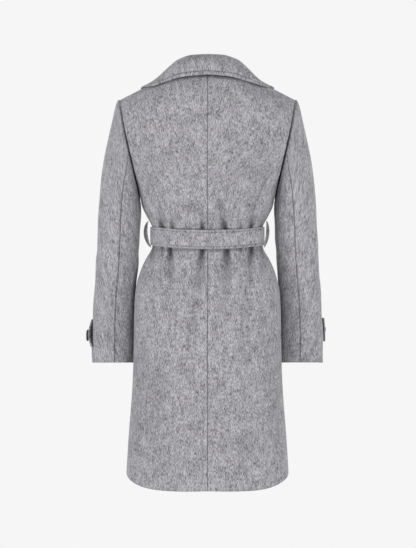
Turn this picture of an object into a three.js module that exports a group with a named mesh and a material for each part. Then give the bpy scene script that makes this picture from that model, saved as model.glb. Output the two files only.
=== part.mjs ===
// Wrap coat in grey wool, filled out as when it is worn, with its belt tied in front.
// Millimetres, +Z up. The wearer faces -Y and their left side is +X. The origin lies midway
// between the two points where the shoulder seams meet the collar.
import * as THREE from 'three';

// ---------------------------------------------------------------- driving sizes
const STAND_SHARE = 0.96;          // of the way from the neck seam to the roll line
const CLOTH = 2.4;                 // wall of the wool and what backs it
const BELT_CLOTH = 3.2;            // the belt, folded double
const SEAM = 0.3;                  // room between two pieces at a seam
const SHOULDER_TIP = { x: 207, z: -61 };
const SHOULDER_DROOP = 0.03;       // share of the shoulder's fall that comes at its end
const UNDERARM = -298;
const HEM = -962;
const HEM_RISE = { side: 10, below: -800 };   // the hem lifts at the side seams
const NECK = { halfWidth: 80, backDepth: 58, backDrop: 4 };
const ROLL_OVER_SHOULDER = 85;     // height over which the back and front curve to the seam
const BULGE = 2.3;                 // squareness of the body's rings, 2 being an ellipse
const BELT = { middle: -392, height: 44, lift: 2.2, sideRise: 8 };
const KNOT = { x: 24, width: 56, height: 52, depth: 26, seat: 0.4 };
const BELT_END = { top: -423.6, width: 42, gathered: 26, lift: 6.5, spring: 6 };
const LOOP = {
  top: -348, bottom: -411, width: 14, behind: 14, bow: 11, squareness: 0.6, lift: 0.6,
};
const WRAP = { reach: 90, start: -366, drop: 12, ramp: 70, margin: 4, flat: 6 };
const LAPEL = {
  top: -112, bottom: -352, topWidth: 92, bottomWidth: 14, rise: 24, tuck: 2, lift: 3.4,
  underLift: 5.8, topLift: 7.6,
};
const FALL = { off: 4, up: 1, crown: 0.8 };   // the fall's room over the roll line
const CUFF_RISE = 6;               // how much higher the sleeve's hem is behind
const TAB = { from: -118, lift: 3.2, freeFrom: -30, freeTo: 20 };
const ARM_STEP = 20;               // degrees between the sleeve's lengthwise lines
const BACK_SEAM = 100;             // degrees round the sleeve from its outer line to the back
const FRONT_SEAM = -120;
const BUTTON = { radius: 14, thickness: 5, sides: 16 };

const WOOL = { color: 0x9d9ca1, roughness: 0.95, metalness: 0 };
const HORN = { color: 0x2e2e33, roughness: 0.45, metalness: 0 };

// Body: the level of a row is its height at the side. Half is the panel's half width there,
// full the half width of the ring that the panel would lie on if the armhole were filled.
const BODY = [
  { level: -962, half: 195, full: 195, back: 140, front: 136 },
  { level: -860, half: 189, full: 189, back: 135, front: 132 },
  { level: -740, half: 180, full: 180, back: 130, front: 128 },
  { level: -640, half: 176.5, full: 176.5, back: 127, front: 126 },
  { level: -560, half: 175, full: 175, back: 124, front: 124 },
  { level: -510, half: 171.5, full: 171.5, back: 120, front: 120 },
  { level: -470, half: 161, full: 161, back: 112, front: 113 },
  { level: -440, half: 148, full: 148, back: 103, front: 104 },
  { level: -413, half: 133, full: 133, back: 93, front: 94.5 },
  { level: -390, half: 131, full: 131, back: 91.5, front: 93 },
  { level: -362, half: 132, full: 132, back: 92.5, front: 94 },
  { level: -340, half: 143, full: 143, back: 100, front: 103 },
  { level: -315, half: 155, full: 155, back: 106, front: 111 },
  { level: -298, half: 159, full: 159, back: 109, front: 115 },
  { level: -270, half: 164, full: 167.5, back: 113, front: 119 },
  { level: -239, half: 171, full: 184, back: 116, front: 121 },
  { level: -200, half: 180, full: 201, back: 118, front: 121 },
  { level: -159, half: 189, full: 213, back: 118, front: 120 },
  { level: -120, half: 197, full: 221, back: 116, front: 118 },
  { level: -61, half: 207, full: 230, back: 112, front: 114 },
];

// Princess seam: half width of the centre back panel at each level.
const PRINCESS = [
  { level: -962, x: 136 },
  { level: -640, x: 122 },
  { level: -470, x: 110 },
  { level: -388, x: 98 },
  { level: -364, x: 99 },
  { level: -307, x: 111 },
  { level: -274, x: 127 },
  { level: -245, x: 146 },
  { level: -206, x: 177 },
];

// Gathers pressed in by the belt: place at the belt, how far they lean as they run away from
// it, width, depth at the belt and reach. Up is +1 above the belt and -1 below.
const BACK_GATHERS = [
  { x: 106, lean: 22, width: 8, depth: 6, reach: 75, up: 1 },
  { x: 80, lean: 6, width: 9, depth: 5, reach: 60, up: 1 },
  { x: 11, lean: -4, width: 10, depth: 5, reach: 90, up: 1 },
  { x: -39, lean: 3, width: 11, depth: 6, reach: 140, up: 1 },
  { x: -76, lean: -8, width: 9, depth: 4, reach: 60, up: 1 },
  { x: -99, lean: -40, width: 9, depth: 5, reach: 100, up: 1 },
  { x: 85, lean: 4, width: 10, depth: 7, reach: 100, up: -1 },
  { x: 11, lean: 26, width: 13, depth: 6, reach: 170, up: -1 },
  { x: -42, lean: -6, width: 13, depth: 7, reach: 150, up: -1 },
  { x: -99, lean: -8, width: 10, depth: 6, reach: 90, up: -1 },
];
const FRONT_GATHERS = [
  { x: 96, lean: 14, width: 10, depth: 5, reach: 70, up: 1 },
  { x: -88, lean: -12, width: 10, depth: 5, reach: 80, up: 1 },
  { x: 104, lean: 10, width: 12, depth: 6, reach: 130, up: -1 },
  { x: -52, lean: -8, width: 12, depth: 5, reach: 120, up: -1 },
  { x: -104, lean: -14, width: 11, depth: 6, reach: 110, up: -1 },
];

// Sleeve rings from the armhole to the cuff: outer and inner ends of the ring, half its
// depth front to back, and how far its middle leans back (+) or forward (-).
const SLEEVE = [
  { outX: 207, outZ: -61, inX: 159, inZ: -298, depth: 62, lean: 0 },
  { outX: 212, outZ: -62, inX: 161.2, inZ: -301, depth: 63, lean: 0 },
  { outX: 218.5, outZ: -77, inX: 161, inZ: -304.5, depth: 64, lean: 0 },
  { outX: 225.5, outZ: -107, inX: 160, inZ: -309, depth: 65, lean: 0 },
  { outX: 235.5, outZ: -150, inX: 159.5, inZ: -314, depth: 66, lean: 0 },
  { outX: 246, outZ: -200, inX: 159, inZ: -321, depth: 66, lean: 0 },
  { outX: 254.5, outZ: -262, inX: 158.8, inZ: -330, depth: 65, lean: 0 },
  { outX: 261, outZ: -332, inX: 159.5, inZ: -349, depth: 63, lean: -2 },
  { outX: 265.5, outZ: -400, inX: 162, inZ: -400, depth: 60, lean: -7 },
  { outX: 268.8, outZ: -461, inX: 166.5, inZ: -461, depth: 57.5, lean: -14 },
  { outX: 273.5, outZ: -520, inX: 174, inZ: -520, depth: 54.5, lean: -23 },
  { outX: 278, outZ: -580, inX: 178, inZ: -580, depth: 51.5, lean: -32 },
  { outX: 281.5, outZ: -640, inX: 179.5, inZ: -640, depth: 49, lean: -41 },
  { outX: 283.5, outZ: -694, inX: 180, inZ: -694, depth: 47, lean: -48 },
];

// Collar sections from the centre back to the front end: the neck seam, the roll line and
// the outer edge, and how far the fall bows out between the last two.
const COLLAR = [
  { neck: [0, 58.5, -3.4], roll: [0, 68, 33], edge: [0, 95, -18.3], bow: 8 },
  { neck: [34, 53.5, -2.7], roll: [36, 62, 33], edge: [52, 92, -22.6], bow: 8 },
  { neck: [59, 40.5, -1.3], roll: [60, 46, 30], edge: [91, 78, -31], bow: 6 },
  { neck: [75, 21, 0.2], roll: [74, 24, 24], edge: [124, 65, -38], bow: 2 },
  { neck: [82, 0, 1.6], roll: [79, -2, 17], edge: [152, 16, -33.5], bow: -3 },
  { neck: [82, -30, -2.5], roll: [85, -34, 12], edge: [154, -38, -36.5], bow: 0 },
  { neck: [81, -58, -11.5], roll: [86, -62, -1], edge: [149, -70, -51], bow: 4 },
  { neck: [79, -84, -27], roll: [82, -90, -22], edge: [141, -98, -73], bow: 6 },
];

// ---------------------------------------------------------------- tables and curves
// Smooth reading of one column of a table whose key column rises row by row.
function read(table, key, column, at) {
  const last = table.length - 1;
  const slope = (i) => {
    const low = Math.max(0, i - 1);
    const high = Math.min(last, i + 1);
    return (table[high][column] - table[low][column]) / (table[high][key] - table[low][key]);
  };
  let i = 0;
  while (i < last - 1 && at > table[i + 1][key]) i += 1;
  const span = table[i + 1][key] - table[i][key];
  const f = Math.min(1, Math.max(0, (at - table[i][key]) / span));
  const rise = 3 * f * f - 2 * f * f * f;
  const leave = f * (1 - f) * (1 - f) * span * slope(i);
  const arrive = f * f * (f - 1) * span * slope(i + 1);
  return table[i][column] * (1 - rise) + table[i + 1][column] * rise + leave + arrive;
}

const smooth = (f) => {
  const g = Math.min(1, Math.max(0, f));
  return g * g * (3 - 2 * g);
};
const mix = (a, b, f) => a + (b - a) * f;
const radians = (degrees) => (degrees * Math.PI) / 180;
const numbered = (table) => table.map((row, index) => ({ ...row, index }));

// ---------------------------------------------------------------- body
// Height of the shoulder seam, and inside the neck of the neck seam, at a distance from the
// middle.
function ridge(x) {
  const far = Math.abs(x);
  if (far < NECK.halfWidth) {
    return -NECK.backDrop * (1 - (far / NECK.halfWidth) ** 2);
  }
  const f = (far - NECK.halfWidth) / (SHOULDER_TIP.x - NECK.halfWidth);
  return SHOULDER_TIP.z * mix(f, f ** 3, SHOULDER_DROOP);
}

// How far behind the shoulder seam the neck seam runs.
function neckDepth(x) {
  const f = Math.min(1, Math.abs(x) / NECK.halfWidth);
  return NECK.backDepth * Math.sqrt(1 - f * f);
}

function gather(rows, x, z) {
  return rows.reduce((sum, row) => {
    const edge = BELT.middle + row.up * BELT.height * 0.5;
    const away = Math.max(0, row.up * (z - edge));
    const beyond = row.up * (z - BELT.middle);
    if (beyond < 0 || away > row.reach) return sum;
    const middle = row.x + (row.lean * away) / row.reach;
    const spread = row.width * (1 + away / row.reach);
    const fade = (1 - away / row.reach) * smooth(away / 8);
    return sum + row.depth * fade * Math.exp(-(((x - middle) / spread) ** 2));
  }, 0);
}

// Point of the body's outer face. Across runs from -1 to 1, side seam to side seam, and way
// is 1 on the back and -1 on the front.
function bodyPoint(across, level, way) {
  const half = read(BODY, 'level', 'half', level);
  const full = Math.max(half, read(BODY, 'level', 'full', level));
  const depth = read(BODY, 'level', way > 0 ? 'back' : 'front', level);
  const x = full * Math.sin(across * Math.asin(half / full));
  const top = ridge(x);
  const climb = (level - UNDERARM) / (SHOULDER_TIP.z - UNDERARM);
  const lift = HEM_RISE.side * smooth((HEM_RISE.below - level) / (HEM_RISE.below - HEM));
  const low = level + lift * Math.sin((across * Math.PI) / 2) ** 2;
  const z = level <= UNDERARM ? low : mix(UNDERARM, top, climb);
  const ring = depth * Math.max(0, 1 - Math.abs(x / full) ** BULGE) ** (1 / BULGE);
  const gathers = way > 0 ? BACK_GATHERS : FRONT_GATHERS;
  const below = Math.min(1, Math.max(0, (top - z) / ROLL_OVER_SHOULDER));
  const over = Math.sqrt(1 - (1 - below) ** 2);
  const seam = way > 0 ? neckDepth(x) + SEAM / 2 : SEAM / 2;
  const y = mix(seam, ring - gather(gathers, x, z), over);
  return new THREE.Vector3(x, way * y, z);
}

// The number from -1 to 1 at which a row has the given x.
function acrossAt(x, level) {
  const half = read(BODY, 'level', 'half', level);
  const full = Math.max(half, read(BODY, 'level', 'full', level));
  return Math.asin(Math.max(-1, Math.min(1, x / full))) / Math.asin(half / full);
}

const upperLevels = [];
for (let turn = 180; turn >= 0; turn -= ARM_STEP) {
  const down = (1 - Math.cos(radians(turn))) / 2;
  upperLevels.push(mix(SHOULDER_TIP.z, UNDERARM, down));
}
const lowerLevels = [
  HEM, -800, -640, -560, -510, -475, -447, -425, -410, -388, -366, -350, -330, -313,
];
const LEVELS = [...lowerLevels, ...upperLevels];

// ---------------------------------------------------------------- walls of cloth
// Closed wall over a grid of stations. `at(s, t)` is its outer face, `inside` a point on the
// hollow side of its middle. With `ring` the first and last s meet.
function clothWall({ at, s, t, inside, wall = CLOTH, ring = false }) {
  const step = 1e-4;
  const low = { s: s[0], t: t[0] };
  const high = { s: s[s.length - 1], t: t[t.length - 1] };
  const slopeS = (a, b) => {
    const from = ring ? a - step : Math.max(low.s, a - step);
    const to = ring ? a + step : Math.min(high.s, a + step);
    return at(to, b).sub(at(from, b)).normalize();
  };
  const slopeT = (a, b) => {
    const from = Math.max(low.t, b - step);
    const to = Math.min(high.t, b + step);
    return at(a, to).sub(at(a, from)).normalize();
  };
  const normal = (a, b) => slopeS(a, b).cross(slopeT(a, b)).normalize();
  const midS = s[Math.floor(s.length / 2)];
  const midT = t[Math.floor(t.length / 2)];
  const way = Math.sign(normal(midS, midT).dot(at(midS, midT).sub(inside)));
  const columns = ring ? s.length - 1 : s.length;
  const points = [];
  for (const face of [0, 1]) {
    for (const b of t) {
      for (const a of s.slice(0, columns)) {
        const offset = normal(a, b).multiplyScalar(-way * wall * face);
        points.push(at(a, b).add(offset));
      }
    }
  }
  const index = (i, j, face) => face * t.length * columns + j * columns + (i % columns);
  const faces = [];
  const quad = (a, b, c, d) => faces.push(a, b, c, a, c, d);
  const cells = ring ? columns : columns - 1;
  for (let j = 0; j < t.length - 1; j += 1) {
    for (let i = 0; i < cells; i += 1) {
      quad(index(i, j, 0), index(i + 1, j, 0), index(i + 1, j + 1, 0), index(i, j + 1, 0));
      quad(index(i, j, 1), index(i, j + 1, 1), index(i + 1, j + 1, 1), index(i + 1, j, 1));
    }
  }
  const end = t.length - 1;
  for (let i = 0; i < cells; i += 1) {
    quad(index(i, 0, 0), index(i, 0, 1), index(i + 1, 0, 1), index(i + 1, 0, 0));
    quad(index(i, end, 0), index(i + 1, end, 0), index(i + 1, end, 1), index(i, end, 1));
  }
  if (!ring) {
    const side = columns - 1;
    for (let j = 0; j < end; j += 1) {
      quad(index(0, j, 0), index(0, j + 1, 0), index(0, j + 1, 1), index(0, j, 1));
      quad(index(side, j, 0), index(side, j, 1), index(side, j + 1, 1), index(side, j + 1, 0));
    }
  }
  return closedBody(points, way > 0 ? faces : faces.reverse());
}

function closedBody(points, faces) {
  const geometry = new THREE.BufferGeometry();
  const numbers = points.flatMap((p) => [p.x, p.y, p.z]);
  geometry.setAttribute('position', new THREE.Float32BufferAttribute(numbers, 3));
  geometry.setIndex(faces);
  geometry.computeVertexNormals();
  return geometry;
}

const even = (count, from = 0, to = 1) =>
  Array.from({ length: count + 1 }, (_, i) => mix(from, to, i / count));

const coat = new THREE.Group();
coat.name = 'wrap_coat';
function add(name, geometry, finish = WOOL) {
  const mesh = new THREE.Mesh(geometry, new THREE.MeshStandardMaterial(finish));
  mesh.name = name;
  coat.add(mesh);
}

const SIDES = [
  { name: 'left', way: 1 },
  { name: 'right', way: -1 },
];
const BODY_MIDDLE = new THREE.Vector3(0, 0, -400);

// ---------------------------------------------------------------- back
const PRINCESS_TOP = PRINCESS[PRINCESS.length - 1].level;
const SIDE_TOP = PRINCESS_TOP - 4;
const backLevels = [...LEVELS, SIDE_TOP, PRINCESS_TOP].sort((a, b) => a - b);
function princess(level) {
  return level >= PRINCESS_TOP ? null : read(PRINCESS, 'level', 'x', level);
}

for (const { name, way } of SIDES) {
  const centre = (s, level) => {
    const x = princess(level);
    const from = acrossAt(SEAM / 2, level);
    const to = x === null ? 1 : acrossAt(x - SEAM / 2, level);
    return bodyPoint(way * mix(from, to, s), level, 1);
  };
  add(`back_${name}`, clothWall({ at: centre, s: even(8), t: backLevels, inside: BODY_MIDDLE }));

  const side = (s, level) => {
    const from = acrossAt(princess(level) + SEAM / 2, level);
    const point = bodyPoint(way * mix(from, 1, s), level, 1);
    point.y += level < UNDERARM + 1 ? (SEAM / 2) * s : 0;
    return point;
  };
  const levels = backLevels.filter((level) => level <= SIDE_TOP);
  add(`side_back_${name}`, clothWall({ at: side, s: even(4), t: levels, inside: BODY_MIDDLE }));
}

// ---------------------------------------------------------------- fronts
// The right front is the upper one. Each front ends at its roll line down to the belt and at
// the wrap's straight edge below it. Reach is how far past the middle it runs.
function frontEdge(level) {
  const f = (SHOULDER_TIP.z - level) / (SHOULDER_TIP.z - WRAP.start);
  return mix(-NECK.halfWidth, WRAP.reach, Math.min(1, f));
}

// Depth to which the under front is set back beneath the upper one.
function setBack(x, level) {
  const edge = frontEdge(level);
  const room = read(BODY, 'level', 'half', level) - WRAP.margin - edge;
  const ramp = Math.min(WRAP.ramp, room);
  return WRAP.drop * smooth((edge + ramp - x) / (ramp - WRAP.flat));
}

function frontPoint(way, x, level, lift) {
  const place = (px, py) => {
    const point = bodyPoint(acrossAt(px, py), py, -1);
    point.y += way > 0 ? setBack(px, py) : 0;
    return point;
  };
  const step = 0.5;
  const inner = Math.abs(x) - step;
  const a = place(Math.sign(x || 1) * inner, level);
  const b = place(x, level);
  const c = place(x, level - step);
  const normal = b.clone().sub(a).cross(b.clone().sub(c)).normalize();
  if (normal.y > 0) normal.negate();
  return b.add(normal.multiplyScalar(lift));
}

for (const { name, way } of [{ name: 'under', way: 1 }, { name: 'over', way: -1 }]) {
  const panel = (s, level) => {
    const edge = acrossAt(-way * frontEdge(level), level);
    const point = bodyPoint(mix(edge, way, s), level, -1);
    point.y += way > 0 ? setBack(point.x, level) : 0;
    point.y -= level < UNDERARM + 1 ? (SEAM / 2) * s : 0;
    return point;
  };
  const columns = even(9);
  add(`front_${name}`, clothWall({ at: panel, s: columns, t: LEVELS, inside: BODY_MIDDLE }));

  const lapel = (s, t) => {
    const level = mix(LAPEL.bottom, LAPEL.top, t);
    const width = mix(LAPEL.bottomWidth, LAPEL.topWidth, t);
    const edge = -way * (frontEdge(level) - LAPEL.tuck);
    const lift = mix(way > 0 ? LAPEL.underLift : LAPEL.lift, LAPEL.topLift, t);
    return frontPoint(way, edge + way * width * s, level + LAPEL.rise * s * t, lift);
  };
  add(`lapel_${name}`, clothWall({ at: lapel, s: even(4), t: even(9), inside: BODY_MIDDLE }));
}

// ---------------------------------------------------------------- collar
const collarRows = numbered(COLLAR).map((row) => ({
  index: row.index,
  neckX: row.neck[0],
  neckY: row.neck[1],
  neckZ: row.neck[2],
  rollX: row.roll[0],
  rollY: row.roll[1],
  rollZ: row.roll[2],
  edgeX: row.edge[0],
  edgeY: row.edge[1],
  edgeZ: row.edge[2],
  bow: row.bow,
}));
function collarLine(line, turn) {
  const far = Math.abs(turn);
  const way = Math.sign(turn);
  const value = (axis) => read(collarRows, 'index', line + axis, far);
  return new THREE.Vector3(way * value('X'), value('Y'), value('Z'));
}

const collarTurns = even(26, -(COLLAR.length - 1), COLLAR.length - 1);
const NECK_MIDDLE = new THREE.Vector3(0, 0, -60);
function stand(turn, t) {
  return collarLine('neck', turn).lerp(collarLine('roll', turn), t * STAND_SHARE);
}
add('collar_stand', clothWall({
  at: stand, s: collarTurns, t: even(2), inside: new THREE.Vector3(0, 0, 20),
}));

function fall(turn, t) {
  const roll = collarLine('roll', turn);
  const edge = collarLine('edge', turn);
  const bow = read(collarRows, 'index', 'bow', Math.abs(turn));
  const out = new THREE.Vector3(roll.x, roll.y, 0).normalize();
  const point = roll.clone().lerp(edge, t);
  const arch = bow * Math.sin(Math.PI * t);
  point.addScaledVector(out, FALL.off + arch);
  point.z += FALL.up + FALL.crown * arch;
  return point;
}
add('collar_fall', clothWall({ at: fall, s: collarTurns, t: even(3), inside: NECK_MIDDLE }));

// ---------------------------------------------------------------- sleeves
const sleeveRows = numbered(SLEEVE);
function ringPoint(turn, row) {
  const value = (column) => read(sleeveRows, 'index', column, row);
  const out = new THREE.Vector3(value('outX'), 0, value('outZ'));
  const inner = new THREE.Vector3(value('inX'), 0, value('inZ'));
  const point = out.lerp(inner, (1 - Math.cos(radians(turn))) / 2);
  const behind = Math.sin(radians(turn));
  point.y = value('lean') + value('depth') * behind;
  point.z += CUFF_RISE * Math.max(0, behind) * smooth(row - SLEEVE.length + 2);
  return point;
}

// Turn is 0 along the outer line, 90 along the back and 180 along the inside of the arm.
function sleevePoint(turn, row) {
  const point = ringPoint(turn, row);
  const level = mix(SHOULDER_TIP.z, UNDERARM, (1 - Math.cos(radians(turn))) / 2);
  const way = Math.sin(radians(turn)) >= 0 ? 1 : -1;
  const clear = SEAM + 0.1 + 0.5 * (1 - Math.cos(radians(turn))) / 2;
  const armhole = bodyPoint(1, level, way).add(new THREE.Vector3(clear, 0, 0));
  const first = ringPoint(turn, 0);
  return point.add(armhole.sub(first).multiplyScalar(Math.max(0, 1 - row / 3)));
}

const sleeveStations = even(SLEEVE.length - 1, 0, SLEEVE.length - 1);
const SEAM_TURN = 0.2;
const pieces = [
  { name: 'upper', from: FRONT_SEAM, to: BACK_SEAM },
  { name: 'under', from: BACK_SEAM, to: FRONT_SEAM + 360 },
];
for (const { name, way } of SIDES) {
  const mirror = (point) => point.set(way * point.x, point.y, point.z);
  for (const piece of pieces) {
    const turns = even((piece.to - piece.from) / ARM_STEP, piece.from, piece.to);
    turns[0] += SEAM_TURN;
    turns[turns.length - 1] -= SEAM_TURN;
    add(`sleeve_${piece.name}_${name}`, clothWall({
      at: (turn, row) => mirror(sleevePoint(turn, row)),
      s: turns,
      t: sleeveStations,
      inside: new THREE.Vector3(way * 214, 0, -400),
    }));
  }
}

// ---------------------------------------------------------------- cuffs
// Row of the sleeve table at a height below the elbow, where its rings lie level.
function rowAt(z) {
  const next = SLEEVE.findIndex((row) => row.outZ <= z);
  const above = SLEEVE[next - 1].outZ;
  return next - 1 + (above - z) / (above - SLEEVE[next].outZ);
}

function aroundCuff(turn, z, lift) {
  const point = sleevePoint(turn, rowAt(z));
  const out = new THREE.Vector3(Math.cos(radians(turn)), Math.sin(radians(turn)), 0);
  return point.addScaledVector(out, lift);
}

// A tab is sewn in at the front and free behind, where its middle bulges off the sleeve or
// its lower edge flares from it.
const cuffs = [
  {
    name: 'left', way: 1, top: -586, bottom: -653, endTop: 12, endBottom: 30, bulge: 7,
    flare: 0, standOff: 1, button: 2, buttonZ: -625, seat: 0.7,
  },
  {
    name: 'right', way: -1, top: -583, bottom: -641, endTop: 6, endBottom: -4, bulge: 0,
    flare: 5, standOff: 4, button: -24, buttonZ: -612, seat: 2,
  },
];
function tabLift(cuff, turn, t) {
  const free = smooth((turn - TAB.freeFrom) / (TAB.freeTo - TAB.freeFrom));
  const off = cuff.standOff + cuff.bulge * Math.sin(Math.PI * t) + cuff.flare * (1 - t);
  return TAB.lift + off * free;
}
// Distance from the axis as a share of the radius, and height as a share of the thickness.
const buttonProfile = [
  [0, -0.5], [0.9, -0.5], [1, -0.24], [1, 0.28], [0.9, 0.5], [0.71, 0.5], [0.66, 0.32],
  [0, 0.32],
].map(([out, up]) => new THREE.Vector2(out * BUTTON.radius, up * BUTTON.thickness));
for (const cuff of cuffs) {
  const mirror = (point) => point.set(cuff.way * point.x, point.y, point.z);
  const tab = (s, t) => {
    const turn = mix(TAB.from, mix(cuff.endBottom, cuff.endTop, t), s);
    return mirror(aroundCuff(turn, mix(cuff.bottom, cuff.top, t), tabLift(cuff, turn, t)));
  };
  const middle = new THREE.Vector3(cuff.way * 227, -40, -620);
  add(`cuff_tab_${cuff.name}`, clothWall({ at: tab, s: even(8), t: even(4), inside: middle }));

  const button = new THREE.LatheGeometry(buttonProfile, BUTTON.sides);
  const height = (cuff.buttonZ - cuff.bottom) / (cuff.top - cuff.bottom);
  const lift = tabLift(cuff, cuff.button, height) + cuff.seat + BUTTON.thickness / 2;
  const place = mirror(aroundCuff(cuff.button, cuff.buttonZ, lift));
  const turn = radians(cuff.button);
  const out = new THREE.Vector3(cuff.way * Math.cos(turn), Math.sin(turn), 0);
  add(`cuff_button_${cuff.name}`, button, HORN);
  const mesh = coat.children[coat.children.length - 1];
  mesh.quaternion.setFromUnitVectors(new THREE.Vector3(0, 1, 0), out);
  mesh.position.copy(place);
}

// ---------------------------------------------------------------- belt
// The belt rides up a little at the sides.
const sideRise = (point) => {
  const half = read(BODY, 'level', 'half', BELT.middle);
  return BELT.sideRise * Math.min(1, Math.abs(point.x) / half) ** 2;
};

// Round the waist: 0 is the centre back, 1 the left side and 2 the centre front.
function waistPoint(around, z, lift) {
  const ring = (a) => {
    const b = ((((a + 2) % 4) + 4) % 4) - 2;
    const far = Math.abs(b);
    const across = far > 1 ? Math.sign(b) * (2 - far) : b;
    return bodyPoint(across, BELT.middle, far > 1 ? -1 : 1);
  };
  const along = ring(around + 0.01).sub(ring(around - 0.01)).normalize();
  const point = ring(around);
  point.z = z + sideRise(point);
  return point.add(new THREE.Vector3(along.y, -along.x, 0).multiplyScalar(-lift));
}

const beltTop = BELT.middle + BELT.height / 2;
const beltBottom = BELT.middle - BELT.height / 2;
add('belt_waist', clothWall({
  at: (s, z) => waistPoint(s, z, BELT.lift + BELT_CLOTH),
  s: even(44, -2, 2),
  t: even(2, beltBottom, beltTop),
  inside: new THREE.Vector3(0, 0, BELT.middle),
  wall: BELT_CLOTH,
  ring: true,
}));

const knot = new THREE.SphereGeometry(1, 16, 10);
const knotPoints = knot.getAttribute('position');
const squared = (value) => Math.sign(value) * Math.abs(value) ** 0.75;
for (let i = 0; i < knotPoints.count; i += 1) {
  const x = squared(knotPoints.getX(i)) * (KNOT.width / 2);
  const y = squared(knotPoints.getZ(i)) * (KNOT.depth / 2);
  const z = squared(knotPoints.getY(i)) * (KNOT.height / 2);
  knotPoints.setXYZ(i, x, -y, z);
}
const knotAround = 2 - acrossAt(KNOT.x, BELT.middle);
const beltFront = waistPoint(knotAround, BELT.middle, BELT.lift + BELT_CLOTH).y;
knot.translate(KNOT.x, beltFront - KNOT.seat - KNOT.depth / 2, BELT.middle);
add('belt_knot', knot);

const ends = [
  { name: 'left', from: 40, to: 68, length: 370 },
  { name: 'right', from: 9, to: -26, length: 342 },
];
for (const end of ends) {
  const strap = (s, t) => {
    const down = 1 - t;
    const width = mix(BELT_END.gathered, BELT_END.width, smooth(down * 3));
    const x = mix(end.from, end.to, down) + (s - 0.5) * width;
    const lift = BELT_END.lift + BELT_CLOTH + BELT_END.spring * (1 - smooth(down * 5));
    return frontPoint(-1, x, BELT_END.top - end.length * down, lift);
  };
  add(`belt_end_${end.name}`, clothWall({
    at: strap, s: even(2), t: even(9), inside: BODY_MIDDLE, wall: BELT_CLOTH,
  }));
}

for (const { name, way } of SIDES) {
  const reach = (level) => {
    const depth = read(BODY, 'level', 'back', level);
    const half = read(BODY, 'level', 'half', level);
    return half * (1 - (LOOP.behind / depth) ** BULGE) ** (1 / BULGE);
  };
  const loop = (s, t) => {
    const seat = mix(reach(LOOP.bottom), reach(LOOP.top), t) + LOOP.lift + CLOTH;
    const x = seat + LOOP.bow * Math.abs(Math.sin(Math.PI * t)) ** LOOP.squareness;
    const y = LOOP.behind + (s - 0.5) * LOOP.width;
    return new THREE.Vector3(way * x, y, mix(LOOP.bottom, LOOP.top, t));
  };
  add(`belt_loop_${name}`, clothWall({ at: loop, s: even(1), t: even(8), inside: BODY_MIDDLE }));
}

export default coat;
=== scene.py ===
import math

import bpy
import numpy as np
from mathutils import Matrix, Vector


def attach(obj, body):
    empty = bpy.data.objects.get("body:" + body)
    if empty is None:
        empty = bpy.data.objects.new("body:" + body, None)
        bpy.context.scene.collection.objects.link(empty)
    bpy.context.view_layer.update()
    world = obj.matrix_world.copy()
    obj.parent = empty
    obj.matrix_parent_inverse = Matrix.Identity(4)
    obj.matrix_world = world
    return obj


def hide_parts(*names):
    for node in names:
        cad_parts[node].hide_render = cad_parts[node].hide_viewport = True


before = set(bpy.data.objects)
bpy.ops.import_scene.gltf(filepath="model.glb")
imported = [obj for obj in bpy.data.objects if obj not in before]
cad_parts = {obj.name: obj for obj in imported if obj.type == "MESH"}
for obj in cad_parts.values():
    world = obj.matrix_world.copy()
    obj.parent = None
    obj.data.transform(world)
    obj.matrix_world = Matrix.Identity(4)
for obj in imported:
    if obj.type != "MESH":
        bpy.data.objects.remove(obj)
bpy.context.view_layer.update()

# Wrap coat in grey melange wool, filled out as when it is worn, its belt tied in front.
# Sizes are in millimetres and become metres when a piece is laid on its form. The wearer
# faces -Y, their left side is +X, and the origin lies between their neck points.
MM = 0.001
CLOTH = 2.4
BELT_CLOTH = 3.2
SEAM = 0.3
TIP_X, TIP_Z = 207, -61
SHOULDER_DROOP = 0.03
UNDERARM = -298
HEM = -962
HEM_LIFT, HEM_DROOP, HEM_LIFT_FROM = 10, 3, -800
NECK_HALF, NECK_BACK, NECK_DROP = 80, 58, 4
ROLL_OVER_SHOULDER = 85
BULGE = 2.3
BELT_MIDDLE, BELT_HEIGHT, BELT_LIFT, BELT_SIDE_RISE = -392, 44, 2.2, 8
BELT_EDGE_ABOVE = BELT_MIDDLE + BELT_HEIGHT / 2
BELT_EDGE_BELOW = BELT_MIDDLE - BELT_HEIGHT / 2
WRAP_REACH, WRAP_START, WRAP_DROP, WRAP_RAMP = 90, -366, 12, 70
BACK_SEAM, FRONT_SEAM = 100, -120
CUFF_RISE = 6


def table(columns, *rows):
    """Named columns of numbers, a row for each section or fold."""
    names = columns.split()
    return {name: np.array([row[i] for row in rows], float) for i, name in enumerate(names)}


BODY = table(
    "level half full back front",
    (-962, 195, 195, 140, 136),
    (-860, 189, 189, 135, 132),
    (-740, 180, 180, 130, 128),
    (-640, 176.5, 176.5, 127, 126),
    (-560, 175, 175, 124, 124),
    (-510, 171.5, 171.5, 120, 120),
    (-470, 161, 161, 112, 113),
    (-440, 148, 148, 103, 104),
    (-413, 133, 133, 93, 94.5),
    (-390, 131, 131, 91.5, 93),
    (-362, 132, 132, 92.5, 94),
    (-340, 143, 143, 100, 103),
    (-315, 155, 155, 106, 111),
    (-298, 159, 159, 109, 115),
    (-270, 164, 167.5, 113, 119),
    (-239, 171, 184, 116, 121),
    (-200, 180, 201, 118, 121),
    (-159, 189, 213, 118, 120),
    (-120, 197, 221, 116, 118),
    (-61, 207, 230, 112, 114),
)
PRINCESS = table(
    "level x",
    (-962, 136),
    (-640, 122),
    (-470, 110),
    (-388, 98),
    (-364, 99),
    (-307, 111),
    (-274, 127),
    (-245, 146),
    (-206, 177),
)
PRINCESS_TOP = PRINCESS["level"][-1]
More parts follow.
